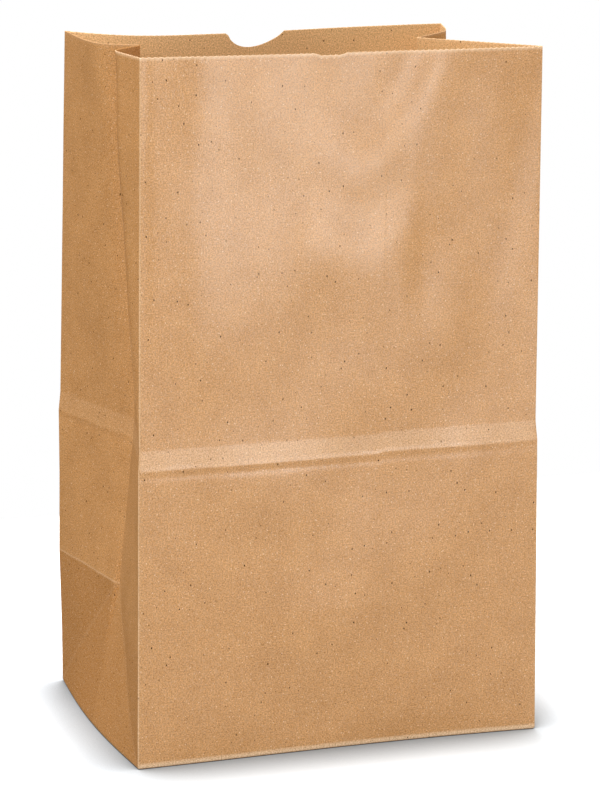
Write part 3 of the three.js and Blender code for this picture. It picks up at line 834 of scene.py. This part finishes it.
# The studio: camera and lamps, in metres, degrees and watts. The camera's length is in pixels of the
# photograph's frame.
CAMERA_PLACE = (-0.3387, -1.0072, 0.3557)
CAMERA_YAW = 18.716
CAMERA_PITCH = 12.542
CAMERA_ROLL = 0.354
CAMERA_PIXELS = 2906.3
IMAGE_HEIGHT = 800
SENSOR = 36.0
LAMPS = (
    # name, place, point it faces, width, height, power, colour
    ("key_softbox", (-0.69, -1.10, 0.72), (0.0, -0.05, 0.13), 0.5, 0.5, 12.4, "ffffff"),
    ("sheen_softbox", (0.335, -1.10, 0.175), (0.0, -0.05, 0.175), 0.16, 0.34, 3.8, "ffffff"),
    ("left_fill", (-0.75, 0.12, 0.95), (-0.07, 0.0, 0.18), 0.8, 0.8, 6.1, "fff4e8"),
    ("right_fill", (1.0, 0.0, 0.9), (0.07, 0.0, 0.15), 0.6, 0.6, 7.5, "fff0dc"),
    ("rear_fill", (0.2, 1.2, 0.9), (0.0, 0.05, 0.15), 0.6, 0.6, 11.0, "ffffff"),
    ("top_light", (-0.04, 0.10, 1.2), (0.0, 0.0, 0.1), 0.45, 0.45, 11.0, "ffffff"),
)

# Light all round, and the floor: what the camera sees of it, and the reach and depth of its dark hem
WORLD_LIGHT = 0.15
WORLD_TINT = "f6f2ec"
FLOOR_LIFT = 0.38
FLOOR_SEEN = "d4dce4"
CONTACT_REACH = 0.03
CONTACT_DEPTH = 1.6
FLOOR_SIDES = ((-0.6, -0.9), (0.6, 0.3))


def seen_share(tree):
    """1 where the camera sees a surface directly, in a reflection or through something, else 0."""
    rays = add_node(tree, "ShaderNodeLightPath").outputs
    seen = rays["Is Camera Ray"]
    for other in ("Is Glossy Ray", "Is Transmission Ray"):
        seen = add_node(tree, "ShaderNodeMath", {"operation": "MAXIMUM"},
                        {0: seen, 1: rays[other]}).outputs["Value"]
    return seen


def floor_material(colours):
    """Seamless white paper sweep: matt, lit by the lamps so that it takes the bag's shadow, and lifted
    to white where the camera sees it directly or in a reflection."""
    material = bpy.data.materials.new("white_paper_sweep")
    material.use_nodes = True
    tree = material.node_tree
    shader = tree.nodes["Principled BSDF"]
    shader.inputs["Roughness"].default_value = 0.9
    shader.inputs["Specular IOR Level"].default_value = 0.0
    seen = seen_share(tree)

    # The dark hem of the shadow, where the foot of the bag keeps light off the floor
    near = add_node(tree, "ShaderNodeAmbientOcclusion", None, {"Distance": CONTACT_REACH})
    shade = add_node(tree, "ShaderNodeMath", {"operation": "POWER"},
                     {0: near.outputs["AO"], 1: CONTACT_DEPTH})
    white = add_node(tree, "ShaderNodeMix", {"data_type": "RGBA", "blend_type": "MULTIPLY"},
                     {"Factor": 1.0, "A": (*linear_colour(FLOOR_SEEN), 1), "B": shade.outputs["Value"]})
    paper = add_node(tree, "ShaderNodeMix", {"data_type": "RGBA"},
                     {"Factor": seen, "A": (*colours.floor, 1), "B": white.outputs["Result"]})
    tree.links.new(paper.outputs["Result"], shader.inputs["Base Color"])
    lift = add_node(tree, "ShaderNodeMath", {"operation": "MULTIPLY"}, {0: seen, 1: FLOOR_LIFT})
    lift = add_node(tree, "ShaderNodeMath", {"operation": "MULTIPLY"},
                    {0: lift.outputs["Value"], 1: shade.outputs["Value"]})
    shader.inputs["Emission Color"].default_value = (1, 1, 1, 1)
    tree.links.new(lift.outputs["Value"], shader.inputs["Emission Strength"])
    return material


def studio_world():
    """Even white light all round, and plain white where the camera sees past the floor."""
    world = bpy.data.worlds.new("studio")
    world.use_nodes = True
    tree = world.node_tree
    light = tree.nodes["Background"]
    seen = seen_share(tree)
    strength = add_node(tree, "ShaderNodeMapRange", None,
                        {"Value": seen, "To Min": WORLD_LIGHT, "To Max": 1.0})
    tree.links.new(strength.outputs["Result"], light.inputs["Strength"])
    tint = add_node(tree, "ShaderNodeMix", {"data_type": "RGBA"},
                    {"Factor": seen, "A": (*linear_colour(WORLD_TINT), 1), "B": (1, 1, 1, 1)})
    tree.links.new(tint.outputs["Result"], light.inputs["Color"])
    return world


class LUNCHBAG_OT_set_stage(Operator):
    """Sets up the pale floor, the soft lamps and the camera"""

    bl_idname = "lunch_bag.set_stage"
    bl_label = "Set Stage"

    def execute(self, context):
        scene = context.scene
        scene.view_settings.view_transform = "Standard"
        scene.world = studio_world()

        (left, front), (right, back) = FLOOR_SIDES
        corners = [(left, front, 0), (right, front, 0), (right, back, 0), (left, back, 0)]
        mesh = bpy.data.meshes.new("floor")
        mesh.from_pydata(corners, [], [(0, 1, 2, 3)])
        floor = bpy.data.objects.new("floor", mesh)
        mesh.materials.append(floor_material(scene.lunch_bag_colours))
        scene.collection.objects.link(floor)

        for name, place, target, width, height, power, colour in LAMPS:
            lamp = bpy.data.lights.new(name, "AREA")
            lamp.shape = "RECTANGLE"
            lamp.size = width
            lamp.size_y = height
            lamp.energy = power
            lamp.color = linear_colour(colour)
            holder = bpy.data.objects.new(name, lamp)
            turn = (Vector(place) - Vector(target)).to_track_quat("Z", "Y")
            holder.matrix_world = Matrix.Translation(place) @ turn.to_matrix().to_4x4()
            scene.collection.objects.link(holder)

        camera = bpy.data.cameras.new("camera")
        camera.sensor_width = SENSOR
        camera.lens = CAMERA_PIXELS * SENSOR / IMAGE_HEIGHT
        camera.clip_end = 50
        holder = bpy.data.objects.new("camera", camera)
        turn = Matrix.Rotation(math.radians(-CAMERA_YAW), 4, "Z")
        tip = Matrix.Rotation(math.radians(90 - CAMERA_PITCH), 4, "X")
        roll = Matrix.Rotation(math.radians(CAMERA_ROLL), 4, "Z")
        holder.matrix_world = Matrix.Translation(CAMERA_PLACE) @ turn @ tip @ roll
        scene.collection.objects.link(holder)
        scene.camera = holder
        return {"FINISHED"}


class LUNCHBAG_PT_panel(Panel):
    """Lists the bag's sizes, colours and steps"""

    bl_idname = "LUNCHBAG_PT_panel"
    bl_label = "Lunch Bag"
    bl_space_type = "VIEW_3D"
    bl_region_type = "UI"
    bl_category = "Lunch Bag"

    def draw(self, context):
        for group in (context.scene.lunch_bag_sizes, context.scene.lunch_bag_colours):
            for name in group.__annotations__:
                self.layout.prop(group, name)
        self.layout.operator(LUNCHBAG_OT_fold_bag.bl_idname)
        self.layout.operator(LUNCHBAG_OT_set_stage.bl_idname)


CLASSES = (BagSizes, BagColours, LUNCHBAG_OT_fold_bag, LUNCHBAG_OT_set_stage, LUNCHBAG_PT_panel)


def register():
    for item in CLASSES:
        bpy.utils.register_class(item)
    bpy.types.Scene.lunch_bag_sizes = PointerProperty(type=BagSizes)
    bpy.types.Scene.lunch_bag_colours = PointerProperty(type=BagColours)


def unregister():
    del bpy.types.Scene.lunch_bag_colours
    del bpy.types.Scene.lunch_bag_sizes
    for item in reversed(CLASSES):
        bpy.utils.unregister_class(item)


def main():
    register()
    bpy.ops.lunch_bag.fold_bag()
    bpy.ops.lunch_bag.set_stage()


if __name__ == "__main__":
    main()
